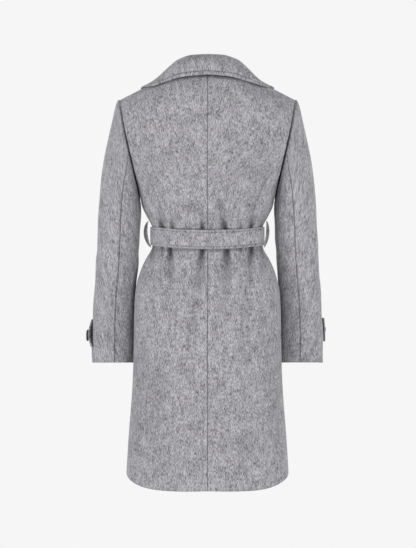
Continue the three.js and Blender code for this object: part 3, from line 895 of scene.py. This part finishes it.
def button(name, place, out):
    """A dished button: its profile spun round, facing out. It has no thread holes."""
    bpy.ops.object.select_all(action="DESELECT")
    bpy.ops.mesh.primitive_grid_add(
        x_subdivisions=BUTTON_FACETS, y_subdivisions=len(BUTTON_PROFILE) - 1
    )
    piece = bpy.context.object
    piece.name = piece.data.name = name
    flat = np.empty(len(piece.data.vertices) * 3)
    piece.data.vertices.foreach_get("co", flat)
    flat = flat.reshape(-1, 3)
    turn = (flat[:, 0] + 1) * np.pi
    step = (flat[:, 1] + 1) / 2 * (len(BUTTON_PROFILE) - 1)
    radius = np.interp(step, range(len(BUTTON_PROFILE)), [p[0] for p in BUTTON_PROFILE])
    height = np.interp(step, range(len(BUTTON_PROFILE)), [p[1] for p in BUTTON_PROFILE])
    local = np.stack([radius * np.cos(turn), radius * np.sin(turn), height], -1)
    turned = Vector((0, 0, 1)).rotation_difference(Vector(out)).to_matrix()
    points = local @ np.array(turned).T + np.array(place)
    piece.data.vertices.foreach_set("co", (points * MM).ravel())
    piece.data.update()
    only(piece)
    bpy.ops.object.mode_set(mode="EDIT")
    bpy.ops.mesh.select_all(action="SELECT")
    bpy.ops.mesh.remove_doubles(threshold=WELD)
    bpy.ops.mesh.normals_make_consistent(inside=False)
    bpy.ops.object.mode_set(mode="OBJECT")
    bpy.ops.object.shade_smooth_by_angle(angle=math.radians(BUTTON_SHARP_ANGLE))
    return piece


for i, (name, way) in enumerate(SIDES):
    cuff = {column: CUFFS[column][i] for column in CUFFS}

    def tab(s, t, cuff=cuff):
        turn = mix(TAB_FROM, mix(cuff["end_bottom"], cuff["end_top"], t), s)
        z = mix(cuff["bottom"], cuff["top"], t)
        return around_cuff(turn, z, tab_lift(cuff, turn, t), cuff["way"])

    middle = (way * 227, -40, -620)
    piece = cloth(
        f"cuff_tab_{name}", tab, 80, 40, middle, tab_relief, rows_crowd=0.5, edge=0.7,
    )
    keep(piece, WOOL, f"cuff_tab_{name}")

    height = (cuff["button_z"] - cuff["bottom"]) / (cuff["top"] - cuff["bottom"])
    turn = np.array([cuff["button"]])
    lift = tab_lift(cuff, turn, height) + cuff["seat"] + BUTTON_THICK / 2
    place = around_cuff(turn, np.array([cuff["button_z"]]), lift, way)[0]
    angle = math.radians(cuff["button"])
    out = (way * math.cos(angle), math.sin(angle), 0)
    keep(button(f"cuff_button_{name}", place, out), HORN, f"cuff_button_{name}")


# ---------------------------------------------------------------- belt
def waist(around, z, lift):
    """Round the waist: 0 is the centre back, 1 the left side and 2 the centre front."""
    def ring(a):
        a = (a + 2) % 4 - 2
        far = np.abs(a)
        across = np.where(far > 1, np.sign(a) * (2 - far), a)
        angle = across * np.pi / 2
        half = read(BODY, "half", BELT_MIDDLE)
        depth = np.where(far > 1, read(BODY, "front", BELT_MIDDLE), read(BODY, "back", BELT_MIDDLE))
        x = half * np.sin(angle)
        y = depth * np.maximum(0, 1 - np.abs(np.sin(angle)) ** BULGE) ** (1 / BULGE)
        return np.stack([x, np.where(far > 1, -y, y), 0 * x], -1)

    along = ring(around + 0.01) - ring(around - 0.01)
    along /= np.linalg.norm(along, axis=1)[:, None]
    out = np.stack([-along[:, 1], along[:, 0], 0 * around], -1)
    points = ring(around) + out * np.broadcast_to(lift, around.shape)[:, None]
    half = read(BODY, "half", BELT_MIDDLE)
    rise = BELT_SIDE_RISE * np.minimum(1, np.abs(points[:, 0]) / half) ** 2
    points[:, 2] = z + rise
    return points


BELT_STITCH = 5.5


def belt(s, t):
    around = mix(-2, 2, s)
    z = mix(BELT_EDGE_BELOW, BELT_EDGE_ABOVE, t)
    return waist(around, z, BELT_LIFT + BELT_CLOTH)


def belt_relief(left, right, bottom, top, points):
    rim = np.minimum(bottom, top)
    slack = 0.5 * np.sin(points[:, 0] * 0.08 + 1) * np.sin(points[:, 2] * 0.07)
    return slack, groove(rim - BELT_STITCH, 1.0, 1.1) + groove(rim, 0.7, 1.4)


piece = cloth(
    "belt_waist", belt, 360, 40, (0, 0, BELT_MIDDLE), belt_relief, BELT_CLOTH, ring=True,
    rows_crowd=0.4, edge=0.8,
)
keep(piece, WOOL, "belt_waist")

KNOT_X, KNOT_WIDE, KNOT_HIGH, KNOT_DEEP, KNOT_SEAT = 24, 56, 52, 26, 0.4


def knot():
    """The tied knot: a folded wrap of belt, pinched at its waist."""
    bpy.ops.object.select_all(action="DESELECT")
    bpy.ops.mesh.primitive_uv_sphere_add(segments=96, ring_count=64, radius=1)
    piece = bpy.context.object
    piece.name = piece.data.name = "belt_knot"
    ball = np.empty(len(piece.data.vertices) * 3)
    piece.data.vertices.foreach_get("co", ball)
    ball = ball.reshape(-1, 3)
    squared = np.sign(ball) * np.abs(ball) ** 0.75
    size = np.array([KNOT_WIDE, KNOT_DEEP, KNOT_HIGH]) / 2
    points = squared * size
    lean = points[:, 0] + 0.35 * points[:, 2]
    front = smooth(-ball[:, 1] * 1.5 + 0.4)
    layers = 1.7 * bell(lean - 13, 3) + 1.5 * bell(lean + 12, 3) + 1.2 * bell(lean - 1, 4)
    points[:, 1] += layers * front
    points[:, 2] *= 1 - 0.10 * bell(points[:, 0], 12)
    around = 2 - across_at(KNOT_X, BELT_MIDDLE)
    at = waist(np.array([around]), np.array([0.0]), BELT_LIFT + BELT_CLOTH)[0]
    points += np.array([KNOT_X, at[1] - KNOT_SEAT - KNOT_DEEP / 2, BELT_MIDDLE])
    piece.data.vertices.foreach_set("co", (points * MM).ravel())
    thread_of_cloth(piece, points[:, 0] + 0.6 * points[:, 1], points[:, 2])
    piece.data.update()
    bpy.ops.object.shade_smooth_by_angle(angle=math.radians(60))
    return piece


keep(knot(), WOOL, "belt_knot")

END_TOP, END_WIDE, END_GATHERED, END_LIFT = -423.6, 42, 26, 6.5
for name, start, end, length in (("left", 40, 68, 370), ("right", 9, -26, 342)):
    def strap(s, t, start=start, end=end, length=length):
        down = 1 - t
        width = mix(END_GATHERED, END_WIDE, smooth(down * 3))
        x = mix(start, end, down) + (s - 0.5) * width
        lift = END_LIFT + BELT_CLOTH + 6 * (1 - smooth(down * 5))
        lift = lift + 1.6 * np.sin(9 * down + start) * smooth(down * 4)
        return on_front(-1, x, END_TOP - length * down, lift)

    def strap_relief(left, right, bottom, top, points):
        rim = np.minimum(np.minimum(left, right), bottom)
        return 0 * rim, groove(rim - BELT_STITCH, 1.0, 1.2) + groove(rim, 0.9, 1.6)

    piece = cloth(
        f"belt_end_{name}", strap, 36, 130, INSIDE, strap_relief, BELT_CLOTH, crowd=0.4,
        rows_crowd=0.6, edge=0.8,
    )
    keep(piece, WOOL, f"belt_end_{name}")

LOOP_TOP, LOOP_BOTTOM, LOOP_WIDE, LOOP_BEHIND, LOOP_LIFT = -348, -411, 14, 14, 0.6
LOOP_SQUARENESS = 0.6
for name, way, bow, lean in (("left", 1, 10, 0.6), ("right", -1, 6, 0.5)):
    def loop(s, t, way=way, bow=bow, lean=lean):
        def reach(level):
            depth = read(BODY, "back", level)
            return read(BODY, "half", level) * (1 - (LOOP_BEHIND / depth) ** BULGE) ** (1 / BULGE)

        seat = mix(reach(LOOP_BOTTOM), reach(LOOP_TOP), t) + LOOP_LIFT + CLOTH
        across = (s - 0.5) * LOOP_WIDE
        arch = np.sin(np.pi * np.clip(t, 0, 1)) ** LOOP_SQUARENESS
        x = seat + bow * arch - lean * across * arch
        return np.stack([way * x, LOOP_BEHIND + across, mix(LOOP_BOTTOM, LOOP_TOP, t)], -1)

    piece = cloth(f"belt_loop_{name}", loop, 12, 60, INSIDE, None, rows_crowd=0.5, edge=0.8)
    keep(piece, WOOL, f"belt_loop_{name}")


# ---------------------------------------------------------------- stitching
def stitches(name, rows, pitch=4.6, gap=1.3, thick=0.45):
    """Rows of stitches, each a small spindle lying in its groove. A row is a list of points
    and normals along the line."""
    ring = 6
    shape = ((0.0, 0.25), (0.2, 0.85), (0.5, 1.0), (0.8, 0.85), (1.0, 0.25))
    vertices, faces = [], []
    for points, normals in rows:
        run = np.concatenate([[0], np.cumsum(np.linalg.norm(np.diff(points, axis=0), axis=1))])
        count = int(run[-1] / pitch)
        for k in range(count):
            ends = (k * pitch + gap / 2, (k + 1) * pitch - gap / 2)
            a, b, up = (
                np.array([np.interp(at, run, source[:, i]) for i in range(3)])
                for at, source in ((ends[0], points), (ends[1], points), (ends[0], normals))
            )
            along = (b - a) / np.linalg.norm(b - a)
            across = np.cross(along, up)
            across /= np.linalg.norm(across)
            up = np.cross(across, along)
            base = len(vertices)
            for f, fat in shape:
                middle = mix(a, b, f) + up * (0.25 * math.sin(math.pi * f) - 0.15)
                for i in range(ring):
                    angle = 2 * math.pi * i / ring
                    offset = across * math.cos(angle) * 1.1 + up * math.sin(angle) * 0.8
                    vertices.append(middle + offset * fat * thick)
            for j in range(len(shape) - 1):
                for i in range(ring):
                    low, high = base + j * ring, base + (j + 1) * ring
                    faces.append((low + i, low + (i + 1) % ring, high + (i + 1) % ring, high + i))
            faces.append(tuple(base + i for i in reversed(range(ring))))
            faces.append(tuple(base + (len(shape) - 1) * ring + i for i in range(ring)))
    mesh = bpy.data.meshes.new(name)
    mesh.from_pydata([tuple(v * MM) for v in vertices], [], faces)
    mesh.update()
    piece = bpy.data.objects.new(name, mesh)
    bpy.context.scene.collection.objects.link(piece)
    only(piece)
    bpy.ops.object.mode_set(mode="EDIT")
    bpy.ops.mesh.select_all(action="SELECT")
    bpy.ops.mesh.normals_make_consistent(inside=False)
    bpy.ops.object.mode_set(mode="OBJECT")
    bpy.ops.object.shade_smooth()
    keep(piece, THREAD)
    return piece


def line_on(place, s, t, inside, sink=0.5):
    """Points and outward normals along a line of stations on a form."""
    s, t = np.broadcast_arrays(np.asarray(s, float), np.asarray(t, float))
    points, normal = lay(place, s.copy(), t.copy())
    middle = len(s) // 2
    way = np.sign(np.dot(normal[middle], points[middle] - np.array(inside, float)))
    return points - normal * way * sink, normal * way


RUN = np.linspace(0.004, 0.996, 400)
down = np.linspace(0, 1, 24)
fall_grid = np.stack([fall(RUN, np.full(len(RUN), t)) for t in down])
fall_length = run(fall_grid, 0)[-1]
stitches("collar_stitching", [
    line_on(fall, RUN, 1 - FALL_STITCH / fall_length, (0, 0, -60), 1.1),
])
stitches("belt_stitching", [
    line_on(belt, RUN, BELT_STITCH / BELT_HEIGHT, (0, 0, BELT_MIDDLE), 0.9),
    line_on(belt, RUN, 1 - BELT_STITCH / BELT_HEIGHT, (0, 0, BELT_MIDDLE), 0.9),
])

# ---------------------------------------------------------------- stage
bpy.ops.object.select_all(action="DESELECT")
bpy.ops.mesh.primitive_circle_add(vertices=96, radius=9, fill_type="NGON", location=(0, 0, -1.46))
floor = bpy.context.object
floor.name = "floor"
pale = Finish("pale_floor")
pale.connect(pale.shader, {
    "Base Color": (0, 0, 0, 1),
    "Roughness": 1.0,
    "Specular IOR Level": 0.0,
    "Emission Color": (0.9216, 0.9216, 0.9216, 1),
    "Emission Strength": 1.0,
})
floor.data.materials.append(pale.material)
floor.visible_diffuse = False
floor.visible_glossy = False

world = bpy.data.worlds.new("studio")
bpy.context.scene.world = world
world.use_nodes = True
sky = world.node_tree
seen = sky.nodes["Background"]
seen.inputs["Color"].default_value = (0.9216, 0.9216, 0.9216, 1)
seen.inputs["Strength"].default_value = 1.0
lit = sky.nodes.new("ShaderNodeBackground")
lit.inputs["Color"].default_value = (0.97, 0.98, 1.0, 1)
lit.inputs["Strength"].default_value = 0.46
path = sky.nodes.new("ShaderNodeLightPath")
either = sky.nodes.new("ShaderNodeMixShader")
sky.links.new(path.outputs["Is Camera Ray"], either.inputs[0])
sky.links.new(lit.outputs[0], either.inputs[1])
sky.links.new(seen.outputs[0], either.inputs[2])
sky.links.new(either.outputs[0], sky.nodes["World Output"].inputs[0])


def softbox(name, place, size, power):
    light = bpy.data.lights.new(name, "AREA")
    light.shape = "RECTANGLE"
    light.size, light.size_y = size
    light.energy = power
    lamp = bpy.data.objects.new(name, light)
    bpy.context.scene.collection.objects.link(lamp)
    lamp.location = place
    aim = Vector((0, 0, -0.45)) - Vector(place)
    lamp.rotation_euler = aim.to_track_quat("-Z", "Y").to_euler()
    return lamp


softbox("key_left", (2.7, 1.5, -0.45), (1.2, 2.2), 57)
softbox("fill_right", (-2.7, 1.4, -0.5), (1.2, 2.2), 29)
softbox("low_back", (-0.9, 3.0, -0.7), (1.6, 1.4), 50)
softbox("front_left", (1.6, -2.4, 0.2), (1.4, 2.0), 34)
softbox("front_right", (-1.6, -2.4, 0.0), (1.4, 2.0), 34)

bpy.context.scene.view_settings.view_transform = "Standard"
CAMERA_AWAY, CAMERA_HEIGHT, CAMERA_DOWN, CAMERA_LENS = 2.2, -0.393, 2.12, 60.4
lens = bpy.data.cameras.new("camera")
lens.lens = CAMERA_LENS
camera = bpy.data.objects.new("camera", lens)
bpy.context.scene.collection.objects.link(camera)
camera.location = (-0.0012, CAMERA_AWAY, CAMERA_HEIGHT)
camera.rotation_euler = (math.radians(90 - CAMERA_DOWN), 0, math.radians(180))
bpy.context.scene.camera = camera

# ---------------------------------------------------------------- cuts of the cloth
# Width and length of each flat cut in metres, its share of that rectangle, how it is held and
# what it rests on. A panel's cut is measured along the worn form, without seam allowances.
CUTS = {
    "back": (0.20, 0.98, 0.76, "gathered", ("back",)),
    "side_back": (0.14, 0.77, 0.76, "gathered", ("back",)),
    "front_over": (0.36, 0.98, 0.78, "gathered", ("front_under",)),
    "front_under": (0.36, 0.98, 0.78, "gathered", ("back",)),
    "lapel_over": (0.095, 0.30, 0.56, "folded", ("front_over",)),
    "lapel_under": (0.095, 0.30, 0.56, "folded", ("front_under",)),
    "collar_stand": (0.30, 0.036, 1.0, "stretched", ("back",)),
    "collar_fall": (0.62, 0.085, 0.86, "folded", ("collar_stand",)),
    "sleeve_upper": (0.24, 0.65, 0.76, "hung", ("back",)),
    "sleeve_under": (0.14, 0.48, 0.82, "hung", ("back",)),
    "cuff_tab_left": (0.135, 0.067, 0.98, "stretched", ("sleeve_upper",)),
    "cuff_tab_right": (0.117, 0.058, 0.98, "stretched", ("sleeve_upper",)),
    "belt_waist": (0.78, 0.044, 1.0, "stretched", ("back", "side_back", "front_over")),
    "belt_end_left": (0.042, 0.370, 1.0, "hung", ("belt_knot", "front_over")),
    "belt_end_right": (0.042, 0.342, 1.0, "hung", ("belt_knot", "front_over")),
    "belt_loop": (0.014, 0.075, 1.0, "stretched", ("side_back",)),
}


def cut_of(name):
    return next((CUTS[key] for key in (name, name.rsplit("_", 1)[0]) if key in CUTS), None)


def named(key, side):
    """The pieces that go by a name, on one side where they have sides."""
    return [piece for piece in (key, f"{key}_{side}") if piece in PIECES]


for name, piece in PIECES.items():
    cut = cut_of(name)
    if cut is None:
        continue
    width, length, share, held, carriers = cut
    side = "right" if name.endswith("_right") else "left"
    under = [other for key in carriers for other in named(key, side) if other != name]
    share * width * length
